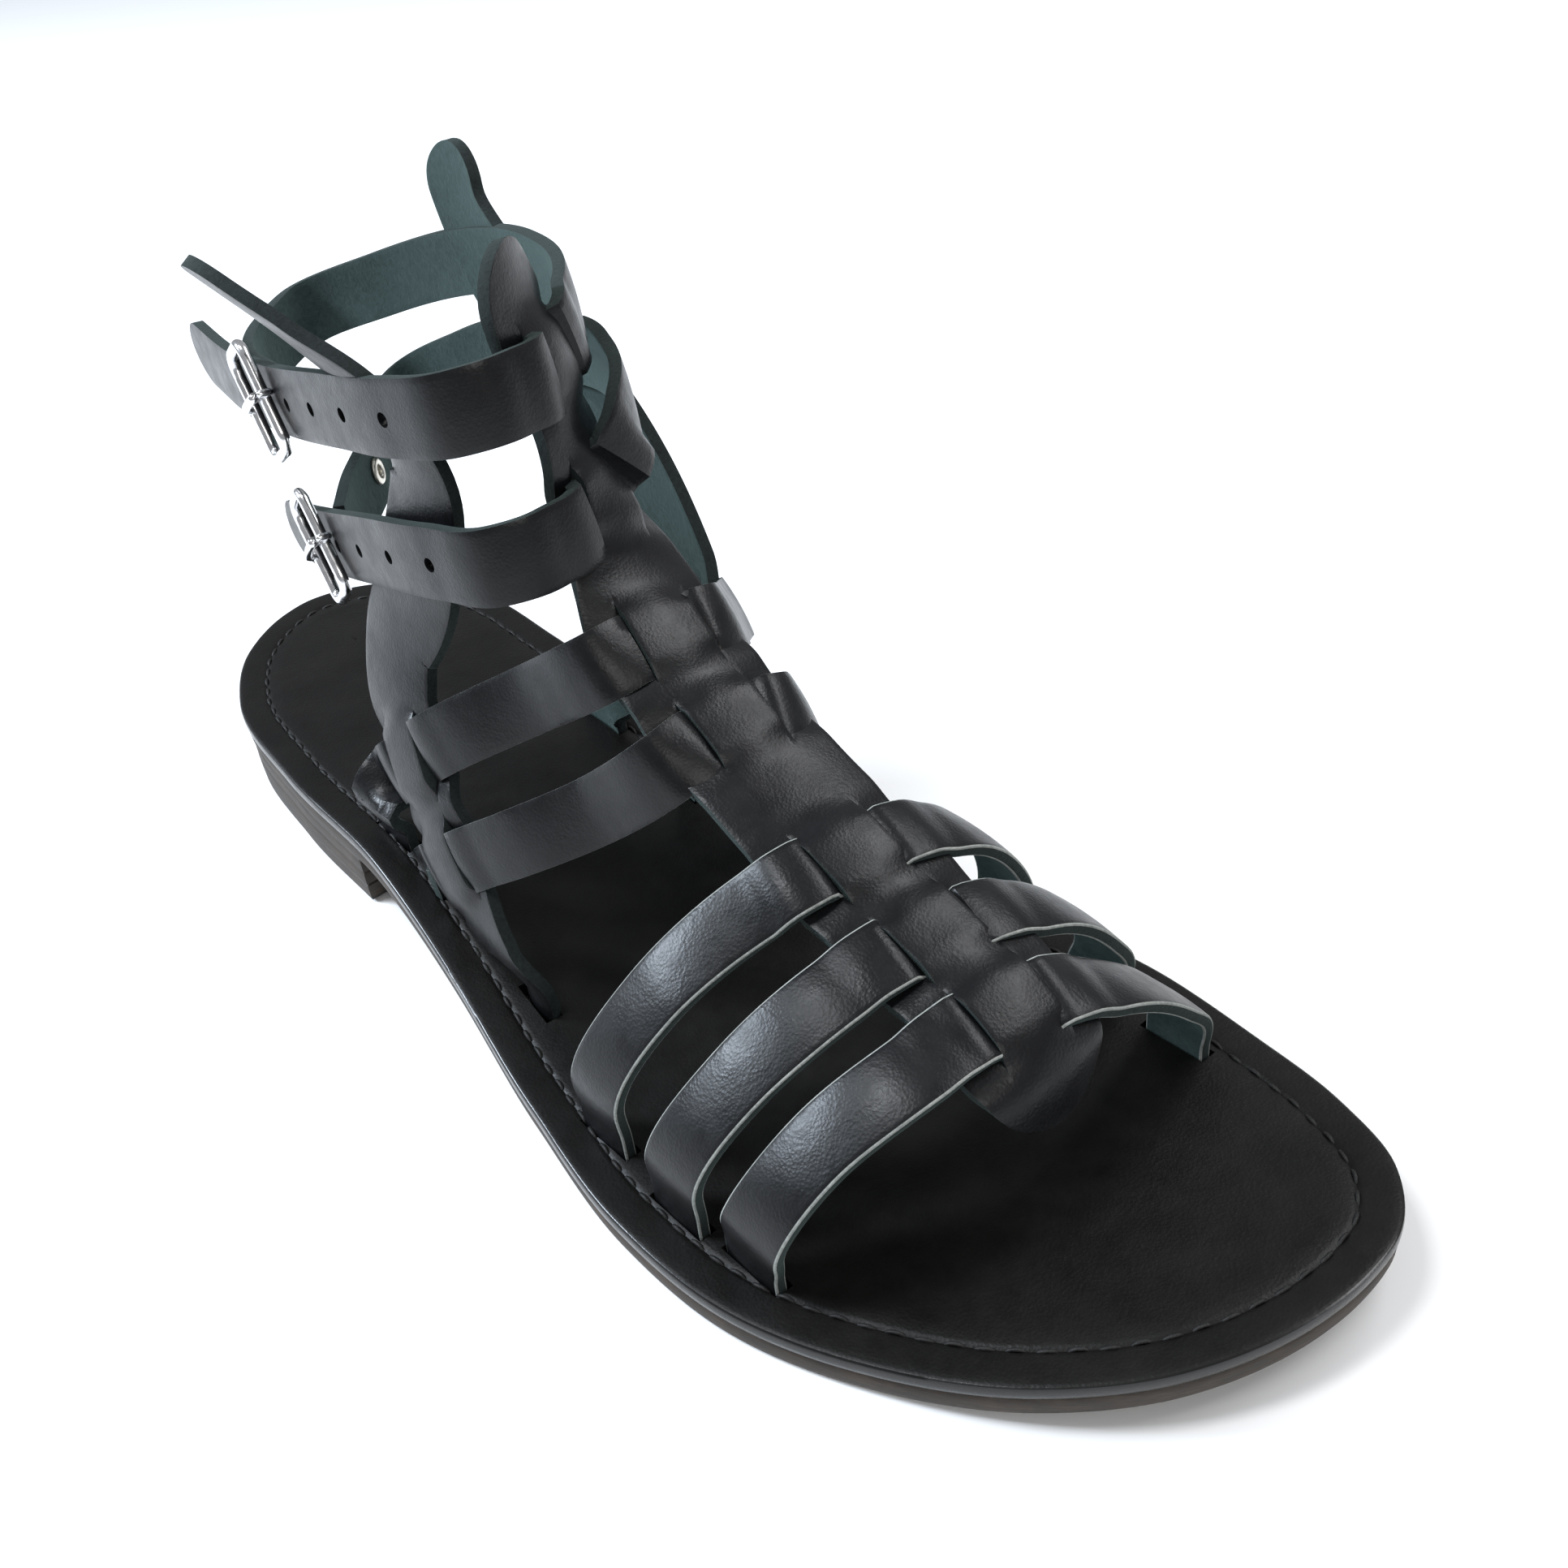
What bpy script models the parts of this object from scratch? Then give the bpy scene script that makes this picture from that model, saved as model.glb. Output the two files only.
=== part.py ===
# Leather gladiator sandal, right shoe.  Metres, +Z up, +Y to the toe, +X to the lateral (outer) side.
# Sizes in the tables are millimetres in the shoe's own frame: y = 0 at the back of the heel, z = 0 on the ground.
import bpy, bmesh, math
from mathutils import Vector

for o in list(bpy.data.objects):
    bpy.data.objects.remove(o, do_unlink=True)

MM = 0.001
LENGTH = 258.0          # sole, heel to toe
CX, CY = 3.322, 128.502     # shifts the shoe onto its own bounding box centre
T = 2.2                 # leather of the straps
GAP = 0.3               # between neighbouring pieces
HEEL = 10.0             # heel lift
BREAST = 82.0           # front face of the heel
T_OUT = 3.3             # outsole
T_TOP = 3.0             # insole (top layer)
TOE_SPRING = 5.0

# ---------------------------------------------------------------- helpers
def material(name, rgb, rough, metal=0.0):
    m = bpy.data.materials.new(name)
    m.use_nodes = True
    b = m.node_tree.nodes["Principled BSDF"]
    b.inputs["Base Color"].default_value = (*rgb, 1)
    b.inputs["Roughness"].default_value = rough
    b.inputs["Metallic"].default_value = metal
    return m

def add(name, verts, faces, mat):
    me = bpy.data.meshes.new(name)
    me.from_pydata([((v[0] - CX) * MM, (v[1] - CY) * MM, v[2] * MM) for v in verts], [], faces)
    bm = bmesh.new()
    bm.from_mesh(me)
    bmesh.ops.recalc_face_normals(bm, faces=bm.faces)
    bm.to_mesh(me)
    bm.free()
    o = bpy.data.objects.new(name, me)
    bpy.context.scene.collection.objects.link(o)
    me.materials.append(mat)
    return o

def spline(knots, pts, t):
    """Natural-looking cubic (Catmull-Rom on uneven knots) through rows of numbers."""
    i = max(0, min(len(knots) - 2, next((k for k in range(len(knots) - 1) if t <= knots[k + 1]), len(knots) - 2)))
    def tan(k):
        if k == 0:
            return [(b - a) / (knots[1] - knots[0]) for a, b in zip(pts[0], pts[1])]
        if k == len(knots) - 1:
            return [(b - a) / (knots[-1] - knots[-2]) for a, b in zip(pts[-2], pts[-1])]
        d0, d1 = knots[k] - knots[k - 1], knots[k + 1] - knots[k]
        return [((b - a) / d0 * d1 + (c - b) / d1 * d0) / (d0 + d1) for a, b, c in zip(pts[k - 1], pts[k], pts[k + 1])]
    h = knots[i + 1] - knots[i]
    u = (t - knots[i]) / h
    m0, m1 = tan(i), tan(i + 1)
    a, b, c, d = 2*u**3 - 3*u*u + 1, u**3 - 2*u*u + u, -2*u**3 + 3*u*u, u**3 - u*u
    return [a*p + b*h*q + c*r + d*h*s for p, q, r, s in zip(pts[i], m0, pts[i + 1], m1)]

def boolean(target, cutter, op):
    m = target.modifiers.new("b", "BOOLEAN")
    m.operation, m.solver, m.object = op, "EXACT", cutter
    dg = bpy.context.evaluated_depsgraph_get()
    me = bpy.data.meshes.new_from_object(target.evaluated_get(dg))
    target.modifiers.clear()
    old = target.data
    target.data = me
    bpy.data.meshes.remove(old)
    bm = bmesh.new()
    bm.from_mesh(me)
    bad = sum(1 for e in bm.edges if not e.is_manifold)
    bm.free()
    if bad:
        print("open edges after", target.name, op, cutter.name, bad)
    bpy.data.objects.remove(cutter, do_unlink=True)

LEATHER = material("leather_black", (0.022, 0.023, 0.026), 0.45)
SOLE_LEATHER = material("sole_leather", (0.03, 0.024, 0.018), 0.6)
STEEL = material("bright_metal", (0.75, 0.75, 0.76), 0.18, 1.0)

# ---------------------------------------------------------------- sole
# y, lateral x, medial x
OUTLINE = [(0, 3.6, -7.6), (8, 16.6, -19.8), (25, 27.5, -28.6), (55, 33, -29.6), (90, 34.9, -26.2), (120, 38.8, -24.4),
           (150, 44.5, -30.6), (178, 48.6, -38.8), (200, 47.2, -42), (220, 39.6, -40.4), (238, 27.8, -36.6),
           (250, 14.2, -30.6), (257, -3.0, -20.6)]
def outline_loop(n):
    pts = [(r[1], r[0]) for r in OUTLINE] + [(-12.0, LENGTH)] + [(r[2], r[0]) for r in reversed(OUTLINE)] + [(-2.0, -1.0)]
    pts = pts[-2:] + pts + pts[:3]          # wrap round, so that the ends are smooth
    k = [0.0]
    for a, b in zip(pts, pts[1:]):
        k.append(k[-1] + math.hypot(b[0] - a[0], b[1] - a[1]))
    t0, t1 = k[2], k[-3]
    return [spline(k, pts, t0 + (t1 - t0) * i / n) for i in range(n)]
LOOP = outline_loop(720)
Y0 = min(p[1] for p in LOOP)
Y1 = max(p[1] for p in LOOP)
def half_widths(y, inset=0.0):
    """lateral and medial x of the sole at y"""
    xs = []
    for a, b in zip(LOOP, LOOP[1:] + LOOP[:1]):
        if (a[1] - y) * (b[1] - y) <= 0 and a[1] != b[1]:
            xs.append(a[0] + (b[0] - a[0]) * (y - a[1]) / (b[1] - a[1]))
    return max(xs) - inset, min(xs) + inset

def z_under(y):
    """underside of the outsole: on the heel, down through the arch, flat, toe spring"""
    if y < BREAST:
        return HEEL
    if y < 152:
        u = (y - BREAST) / (152 - BREAST)
        return HEEL * (1 - u) ** 2 * (1 + 2 * u)
    if y > 206:
        return TOE_SPRING * ((y - 206) / (LENGTH - 206)) ** 2
    return 0.0

def slab(name, y_from, y_to, low, high, mat, inset=0.0, steps=44):
    """a layer of the sole between two heights given as functions of y"""
    ys = []
    for i in range(steps + 1):
        u = i / steps
        ys.append(y_from + (y_to - y_from) * (0.5 - 0.5 * math.cos(math.pi * u)) * 0.55 + (y_to - y_from) * u * 0.45)
    verts, faces = [], []
    for y in ys:
        xl, xm = half_widths(min(max(y, Y0 + 0.02), Y1 - 0.02))
        xl, xm = (xl - inset, xm + inset) if xl - xm > 2.5 * inset + 1 else ((xl + xm) / 2 + 0.5, (xl + xm) / 2 - 0.5)
        verts += [(xm, y, low(y)), (xl, y, low(y)), (xl, y, high(y)), (xm, y, high(y))]
    for i in range(len(ys) - 1):
        a, b = 4 * i, 4 * (i + 1)
        for j in range(4):
            k = (j + 1) % 4
            faces.append((a + j, a + k, b + k, b + j))
    faces += [(3, 2, 1, 0), tuple(4 * (len(ys) - 1) + j for j in range(4))]
    return add(name, verts, faces, mat)

ends = (Y0 + 0.25, Y1 - 0.25)
heel = slab("heel", ends[0] + 0.3, BREAST, lambda y: 0.0, lambda y: HEEL - GAP, SOLE_LEATHER, 0.4, 24)
outsole = slab("outsole", *ends, z_under, lambda y: z_under(y) + T_OUT, SOLE_LEATHER, 0.2)
def top_low(y): return z_under(y) + T_OUT + GAP
def top_high(y): return z_under(y) + T_OUT + T_TOP
insole = slab("insole", *ends, top_low, top_high, LEATHER, 0.0)

# ---------------------------------------------------------------- straps
# rows: x, y, z, then the direction of the strap's width, then the width
N3 = (0, 1, 0)
def foot(x, y, w, u=N3):
    """the strap's end in its slot in the insole, and a point just above it"""
    z = max(top_low(y - w / 2), top_low(y + w / 2)) + 0.1
    return [(x, y, z, *u, w), (x, y, top_high(y) + 2.5, *u, w)]
W5, WA = 10.5, 11.5
CENTRAL = [(0.2, 117, 119.5, .75, .65, 0, 19), (0, 118.5, 112, .75, .65, 0, 21), (-2, 121, 101.5, .75, .65, 0, 18),
           (-2, 124, 91.3, .8, .6, 0, 18), (-2.4, 127, 82, .85, .5, 0, 19), (-1.5, 133, 73.6, .95, .3, 0, 20),
           (0.8, 143, 66.2, 1, .15, 0, 22), (1.5, 157, 57.4, 1, 0, 0, 22.5), (2, 169, 51.8, 1, 0, 0, 22.5),
           (2.3, 182, 46.9, 1, 0, 0, 23), (2, 197, 41, 1, 0, 0, 23), (2.4, 211, 36.8, 1, 0, 0, 23),
           (3.2, 218, 31.5, 1, 0, 0, 22), (4, 220, 23.5, 1, 0, 0, 20)]
FORE = {
    "a": foot(39.4, 164.5, W5) + [(40.4, 166.5, 19, 0, 1, 0, W5), (31.5, 171.5, 33.5, .1, 1, -.1, W5), (16.5, 178, 44.2, 0, 1, -.25, W5),
          (2.3, 182, 46.9, 0, 1, -.35, W5), (-13.8, 184, 42.6, 0, 1, -.25, W5), (-25, 183, 30, 0, 1, -.1, W5), (-30, 179, 14, 0, 1, 0, W5)]
         + foot(-29.5, 177, W5)[::-1],
    "b": foot(40.8, 183.5, W5) + [(41.6, 185.5, 18, 0, 1, 0, W5), (32, 190, 31.2, .1, 1, -.1, W5), (17.5, 194.5, 39.6, 0, 1, -.2, W5),
          (2, 197, 41, 0, 1, -.3, W5), (-14.7, 200, 36.5, 0, 1, -.2, W5), (-26.5, 200, 25, 0, 1, -.1, W5), (-32.8, 197.2, 12.5, 0, 1, 0, W5)]
         + foot(-32.5, 196, W5)[::-1],
    "c": foot(39.4, 198, W5) + [(40.6, 201, 17.5, 0, 1, 0, W5), (31, 205.5, 30.2, .1, 1, -.1, W5), (17.5, 209.5, 36.2, 0, 1, -.2, W5),
          (2.4, 211, 36.8, 0, 1, -.3, W5), (-12.9, 214, 31.8, 0, 1, -.2, W5), (-25.5, 214.5, 21.3, 0, 1, -.1, W5), (-31.7, 213, 12, 0, 1, 0, W5)]
         + foot(-32, 212.5, W5)[::-1]}
INSTEP = {
    "1": foot(27.6, 88, W5) + [(30.4, 90, 25.5, 0, .9, -.1, W5), (30.8, 101, 36.5, 0, .8, -.6, W5), (26.5, 114, 47.6, 0, .6, -.8, W5), (17, 128.5, 57, 0, .6, -.8, W5),
          (7, 138.7, 63.4, 0, .6, -.8, W5), (0.8, 143, 66.2, .1, .75, -.6, W5), (-8.5, 141, 63, 0, .65, -.75, W5), (-18, 133, 57, 0, .6, -.8, W5),
          (-24.5, 121, 49, 0, .7, -.7, W5), (-25.5, 106, 36, 0, .85, -.5, W5), (-21.5, 93, 24, 0, 1, -.2, W5)] + foot(-18.6, 88, W5)[::-1],
    "2": foot(27.8, 108.5, W5) + [(31.4, 109.5, 20.5, 0, .9, -.2, W5), (32, 118, 28, 0, .7, -.7, W5), (27, 132.5, 37.5, 0, .6, -.8, W5), (19, 143.5, 44.5, 0, .6, -.8, W5),
          (8.3, 153.3, 53.2, 0, .6, -.8, W5), (1.5, 157, 57.2, .1, .85, -.5, W5), (-8, 155.5, 53.5, 0, .7, -.7, W5), (-17.5, 148, 45, 0, .65, -.75, W5),
          (-23, 135.5, 33.5, 0, .7, -.7, W5), (-23, 121, 22.5, 0, .9, -.4, W5)] + foot(-17.8, 111, W5)[::-1]}
SIDE_LAT = foot(31, 134.5, 8, (0.1, 1, 0)) + [(32.6, 129.5, 16, .1, 1, .3, 11), (31.6, 120, 22.8, 0, 1, .3, 14), (30.4, 112.5, 31.5, 0, 1, .2, 16),
            (28.3, 106, 40, 0, 1, .1, 17), (25.8, 100.5, 49, 0, 1, 0, 18), (22.4, 98.5, 58, 0, 1, 0, 19), (19.9, 103, 67, 0, 1, 0, 19.5),
            (18.6, 108, 78, 0, 1, .1, 18), (17.8, 111, 88, 0, 1, .2, 16.5), (18.4, 106, 96.5, .2, 1, .35, 17), (22, 92.5, 106, .35, .88, .32, 20),
            (28, 76, 116, .35, .88, .32, 20)]
SIDE_MED = foot(-19.6, 136, 9) + [(-20.6, 133.5, 16, 0, 1, .3, 12), (-22, 126.5, 34, 0, 1, .3, 15), (-24.2, 117, 51, 0, 1, .3, 17), (-26.5, 103, 69, 0, 1, .3, 18),
            (-27.6, 84, 84.5, 0, 1, .5, 18), (-27.6, 66, 96.5, 0, 1, .4, 18), (-28.4, 58.5, 105, 0, 1, .2, 15), (-29.2, 55, 116, 0, 1, .1, 18)]
UP = (0, -.2, 1)
# buckled end (inside layer) - round the heel - medial - front - lateral - free end (outside layer)
ANKLE = {
    "upper": [(11.6, 53, 83.4), (8.4, 37, 81.4), (0.6, 24.5, 80.6), (-11, 17.5, 82), (-22, 32, 88), (-27.6, 57.5, 96), (-24, 86, 101.6), (-13, 111, 103.6),
              (-2, 121, 102), (6, 128, 103.2), (13, 130, 103.9), (18.6, 126.5, 103.1), (21.4, 114.5, 100.4), (21.2, 95, 96.2), (17.4, 64, 88.6), (15.6, 50, 86.2), (10.4, 19, 84.0)],
    "lower": [(12.5, 67, 61.8), (5.5, 57.5, 61.8), (-3, 48.5, 62.3), (-11, 39.5, 63.8), (-18.8, 36, 67.4), (-26.4, 51, 76), (-27.6, 78.5, 85), (-21, 107, 90.6), (-11.5, 123, 89.5),
              (-2.4, 127, 82.6), (6, 131.5, 81.6), (13.5, 133.5, 82), (19.3, 130, 81.2), (22, 118, 78.9), (21.6, 99.5, 74), (18, 73.5, 65.2), (15.6, 60, 60.6), (13.2, 46, 57)]}

def ribbon(name, rows, step=4.2, round_start=False, round_end=False, thick=T, mat=LEATHER):
    """a strap: a flat leather section carried along a smooth line, returned with its frames"""
    k = [0.0]
    for a, b in zip(rows, rows[1:]):
        k.append(k[-1] + math.dist(a[:3], b[:3]))
    n = max(4, int(k[-1] / step))
    ts = [k[-1] * i / n for i in range(n + 1)]
    rnd = rows[-1][6] * 0.5
    if round_end:
        ts = [t for t in ts if t < k[-1] - rnd] + [k[-1] - rnd * (1 - math.sin(a * math.pi / 10)) for a in range(5)] + [k[-1] - 0.02]
    if round_start:
        rnd0 = rows[0][6] * 0.5
        ts = [0.02] + [rnd0 * (1 - math.sin(a * math.pi / 10)) for a in range(4, -1, -1)] + [t for t in ts if t > rnd0 + 1]
    verts, faces, frames = [], [], []
    for t in ts:
        q = spline(k, rows, t)
        p0, p1 = spline(k, rows, max(0, t - 0.4)), spline(k, rows, min(k[-1], t + 0.4))
        d = (Vector(p1[:3]) - Vector(p0[:3])).normalized()
        u = Vector(q[3:6])
        u = (u - d * u.dot(d)).normalized()
        nrm = u.cross(d).normalized()
        w = q[6] / 2
        if round_end and t > k[-1] - rnd:
            w *= math.sqrt(max(0.03, 1 - ((t - k[-1] + rnd) / rnd) ** 2))
        if round_start and t < rows[0][6] * 0.5:
            r0 = rows[0][6] * 0.5
            w *= math.sqrt(max(0.03, 1 - ((r0 - t) / r0) ** 2))
        c = Vector(q[:3])
        h = thick / 2
        verts += [c + u * w + nrm * h, c - u * w + nrm * h, c - u * w - nrm * h, c + u * w - nrm * h]
        frames.append((c, d, u, nrm))
    for i in range(len(ts) - 1):
        a, b = 4 * i, 4 * (i + 1)
        for j in range(4):
            f = (j + 1) % 4
            faces.append((a + j, a + f, b + f, b + j))
    faces += [(0, 1, 2, 3), tuple(4 * (len(ts) - 1) + j for j in (3, 2, 1, 0))]
    return add(name, verts, faces, mat), frames

def box(name, c, d, u, nrm, sizes, mat=LEATHER):
    """a block at c: sizes along d, u and nrm"""
    v = [c + d * (sizes[0] / 2 * a) + u * (sizes[1] / 2 * b) + nrm * (sizes[2] / 2 * e) for a in (-1, 1) for b in (-1, 1) for e in (-1, 1)]
    f = [(0, 1, 3, 2), (4, 6, 7, 5), (0, 4, 5, 1), (2, 3, 7, 6), (0, 2, 6, 4), (1, 5, 7, 3)]
    return add(name, v, f, mat)

def tube(name, c, ax, ref, r_out, r_in, half, mat, n=20):
    """a short tube, or a disc with r_in = 0, centred at c along ax"""
    e1 = (ref - ax * ref.dot(ax)).normalized()
    e2 = ax.cross(e1)
    verts, faces = [], []
    radii = [(r_out, -half), (r_out, half)] + ([(r_in, half), (r_in, -half)] if r_in else [])
    for i in range(n):
        a = 2 * math.pi * i / n
        for r, h in radii:
            verts.append(c + (e1 * math.cos(a) + e2 * math.sin(a)) * r + ax * h)
    m = len(radii)
    for i in range(n):
        k = (i + 1) % n
        for j in range(m if r_in else 1):
            f = (j + 1) % m
            faces.append((m * i + j, m * i + f, m * k + f, m * k + j))
    if not r_in:
        faces += [tuple(m * i for i in range(n)), tuple(m * i + 1 for i in range(n))]
    return add(name, verts, faces, mat)

def slot(rows_foot, w):
    """cuts the strap's slot through the insole"""
    x, y, z, ux, uy, uz, _ = rows_foot
    u = Vector((ux, uy, 0)).normalized()
    nrm = Vector((u.y, -u.x, 0))
    boolean(insole, box("cut", Vector((x, y, z + 2)), Vector((0, 0, 1)), u, nrm, (14, w + 2 * GAP, T + 2 * GAP)), "DIFFERENCE")

upper, _ = ribbon("upper", CENTRAL, round_start=True, round_end=True)
for key, rows in list(FORE.items()) + list(INSTEP.items()):
    s, _ = ribbon("strap_" + key, rows)
    boolean(upper, s, "UNION")
    slot(rows[0], rows[0][6])
    slot(rows[-1], rows[-1][6])
for rows in (SIDE_LAT, SIDE_MED):
    s, _ = ribbon("side", rows, round_end=True)
    boolean(upper, s, "UNION")
    slot(rows[0], rows[0][6])

STEPS = {}
for key, pts in ANKLE.items():
    rows = [(*p, *UP, WA) for p in pts]
    s, frames = ribbon("ankle_" + key, rows, round_end=True)
    STEPS[key] = frames
    boolean(upper, s, "UNION")

# ---------------------------------------------------------------- buckles
WIRE = 2.0
TURN = 0.35         # the loose buckles lean back at the top
def at(rows, i, f):
    """a frame (place, along, across, outward) on an ankle strap, f of the way from row i to row i+1"""
    k = [0.0]
    for a, b in zip(rows, rows[1:]):
        k.append(k[-1] + math.dist(a[:3], b[:3]))
    t = k[i] + (k[i + 1] - k[i]) * f
    p, q = spline(k, rows, t - 0.5), spline(k, rows, t + 0.5)
    d = (Vector(q[:3]) - Vector(p[:3])).normalized()
    u = Vector(UP)
    u = (u - d * u.dot(d)).normalized()
    return Vector(spline(k, rows, t)[:3]), d, u, u.cross(d).normalized()

for key, pts in ANKLE.items():
    rows = [(*p, *UP, WA) for p in pts]
    c, d, u, n = at(rows, len(rows) - 3, {"upper": -0.05, "lower": 0.02}[key])         # on the free-end layer, where it passes through the frame
    if n.x < 0:
        n = -n
    c = c + n * (T / 2 + GAP + WIRE / 2)
    u, d = (u + d * TURN).normalized(), (d - u * TURN).normalized()
    frame = box("buckle_" + key, c, d, u, n, (12.5, 20, WIRE), STEEL)
    boolean(frame, box("cut", c, d, u, n, (8.5, 16, 3 * WIRE), STEEL), "DIFFERENCE")
    pc = c + n * (WIRE / 2 + GAP + 0.6)
    box("prong_" + key, pc, d, u, n, (13.5, 1.9, 1.2), STEEL)
    # eyelet rivet through the buckled end
    c, d, u, n = at(rows, *{"upper": (0, 0.62), "lower": (2, -0.05)}[key])
    boolean(upper, tube("cut", c, n, u, 2.4, 0, 1.9, LEATHER), "DIFFERENCE")
    r = tube("rivet_" + key, c, n, u, 2.1, 1.2, 1.6, STEEL)

# ---------------------------------------------------------------- clean up
for o in list(bpy.data.objects):
    bm = bmesh.new()
    bm.from_mesh(o.data)
    bmesh.ops.remove_doubles(bm, verts=bm.verts, dist=0.000005)
    bmesh.ops.triangulate(bm, faces=bm.faces)
    bmesh.ops.recalc_face_normals(bm, faces=bm.faces)
    open_edges = sum(1 for e in bm.edges if not e.is_manifold)
    bm.to_mesh(o.data)
    bm.free()
    xs = [v.co for v in o.data.vertices]
    print(o.name, len(o.data.polygons), "faces, open", open_edges, "x", round(min(v.x for v in xs), 4), round(max(v.x for v in xs), 4),
          "y", round(min(v.y for v in xs), 4), round(max(v.y for v in xs), 4), "z", round(min(v.z for v in xs), 4), round(max(v.z for v in xs), 4))
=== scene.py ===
# The looks of the leather gladiator sandal (right shoe): every strap as a sheet of leather woven through
# the slits of the central strip, a layered sole with a stitched top, bright buckles.
# Tables are millimetres in the shoe's own frame (y = 0 at the back of the heel); P() turns them into the frame.
import bpy, bmesh, math
import numpy as np
from mathutils import Vector, Matrix


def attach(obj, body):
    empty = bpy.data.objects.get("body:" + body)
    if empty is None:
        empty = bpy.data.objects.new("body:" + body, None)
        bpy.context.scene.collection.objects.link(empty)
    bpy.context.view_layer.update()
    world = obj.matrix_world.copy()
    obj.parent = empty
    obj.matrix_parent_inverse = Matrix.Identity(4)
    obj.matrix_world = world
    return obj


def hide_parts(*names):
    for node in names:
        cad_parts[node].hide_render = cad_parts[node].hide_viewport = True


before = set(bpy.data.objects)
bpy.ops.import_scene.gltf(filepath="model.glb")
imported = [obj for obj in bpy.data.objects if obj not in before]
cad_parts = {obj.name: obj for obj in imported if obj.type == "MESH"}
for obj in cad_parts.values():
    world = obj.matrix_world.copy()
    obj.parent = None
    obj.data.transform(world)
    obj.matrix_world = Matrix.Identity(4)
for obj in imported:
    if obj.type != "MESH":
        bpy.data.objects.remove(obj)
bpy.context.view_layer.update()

MM = 0.001
CX, CY = 3.322, 128.502
T = 2.0                     # leather of the straps, as drawn
LENGTH = 258.0
HEEL, BREAST, T_OUT, T_TOP, TOE_SPRING, GAP = 10.0, 82.0, 3.3, 3.0, 5.0, 0.3

def P(v):
    return Vector(((v[0] - CX) * MM, (v[1] - CY) * MM, v[2] * MM))

# ================================================================ materials
def nodes_of(name):
    m = bpy.data.materials.new(name)
    m.use_nodes = True
    nt = m.node_tree
    return m, nt, nt.nodes["Principled BSDF"]

def ramp(nt, src, stops):
    r = nt.nodes.new("ShaderNodeValToRGB")
    r.color_ramp.elements[0].position, r.color_ramp.elements[0].color = stops[0][0], (*stops[0][1], 1)
    r.color_ramp.elements[1].position, r.color_ramp.elements[1].color = stops[-1][0], (*stops[-1][1], 1)
    for p, c in stops[1:-1]:
        e = r.color_ramp.elements.new(p)
        e.color = (*c, 1)
    nt.links.new(src, r.inputs["Fac"])
    return r.outputs["Color"]

def noise(nt, scale, detail=4.0, rough=0.55, vec=None, distortion=0.0):
    n = nt.nodes.new("ShaderNodeTexNoise")
    n.inputs["Scale"].default_value, n.inputs["Detail"].default_value = scale, detail
    n.inputs["Roughness"].default_value, n.inputs["Distortion"].default_value = rough, distortion
    if vec is not None:
        nt.links.new(vec, n.inputs["Vector"])
    return n.outputs["Fac"]

def remap(nt, src, lo, hi, a=0.0, b=1.0):
    n = nt.nodes.new("ShaderNodeMapRange")
    n.inputs["From Min"].default_value, n.inputs["From Max"].default_value = a, b
    n.inputs["To Min"].default_value, n.inputs["To Max"].default_value = lo, hi
    nt.links.new(src, n.inputs["Value"])
    return n.outputs["Result"]

def bump(nt, heights, b):
    """a chain of bumps: (height, strength, distance in metres)"""
    last = None
    for src, s, d in heights:
        n = nt.nodes.new("ShaderNodeBump")
        n.inputs["Strength"].default_value, n.inputs["Distance"].default_value = s, d
        nt.links.new(src, n.inputs["Height"])
        if last:
            nt.links.new(last, n.inputs["Normal"])
        last = n.outputs["Normal"]
    nt.links.new(last, b.inputs["Normal"])

def obj_coords(nt):
    return nt.nodes.new("ShaderNodeTexCoord").outputs["Object"]

def cells(nt, scale, vec, feature="F1"):
    v = nt.nodes.new("ShaderNodeTexVoronoi")
    v.feature = feature
    v.inputs["Scale"].default_value = scale
    nt.links.new(vec, v.inputs["Vector"])
    return v.outputs["Distance"]

def leather(name, dark, light, rough, coat, grain=0.22, spec=0.5):
    m, nt, b = nodes_of(name)
    oc = obj_coords(nt)
    mottle = noise(nt, 90, 5, 0.6, oc)
    nt.links.new(ramp(nt, mottle, [(0.3, dark), (0.7, light)]), b.inputs["Base Color"])
    patch = noise(nt, 220, 6, 0.65, oc)
    nt.links.new(remap(nt, patch, rough - 0.05, rough + 0.09, 0.3, 0.7), b.inputs["Roughness"])
    bump(nt, [(noise(nt, 160, 3, 0.5, oc), 0.25, 0.0006), (cells(nt, 2100, oc), grain, 0.00012), (noise(nt, 3800, 3, 0.6, oc), grain, 0.00008)], b)
    b.inputs["Specular IOR Level"].default_value = spec
    b.inputs["Coat Weight"].default_value = coat
    b.inputs["Coat Roughness"].default_value = 0.34
    return m

OUTER = leather("strap_leather_smooth", (0.0020, 0.0021, 0.0025), (0.0050, 0.0053, 0.0062), 0.34, 0.05, 0.22, 0.24)
TOP = leather("insole_leather_smooth", (0.0022, 0.0020, 0.0018), (0.0058, 0.0053, 0.0048), 0.42, 0.04, 0.26, 0.18)
EDGE_BLACK = leather("sole_edge_waxed", (0.0026, 0.0024, 0.0022), (0.0058, 0.0053, 0.0050), 0.22, 0.25, 0.10, 0.24)

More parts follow.
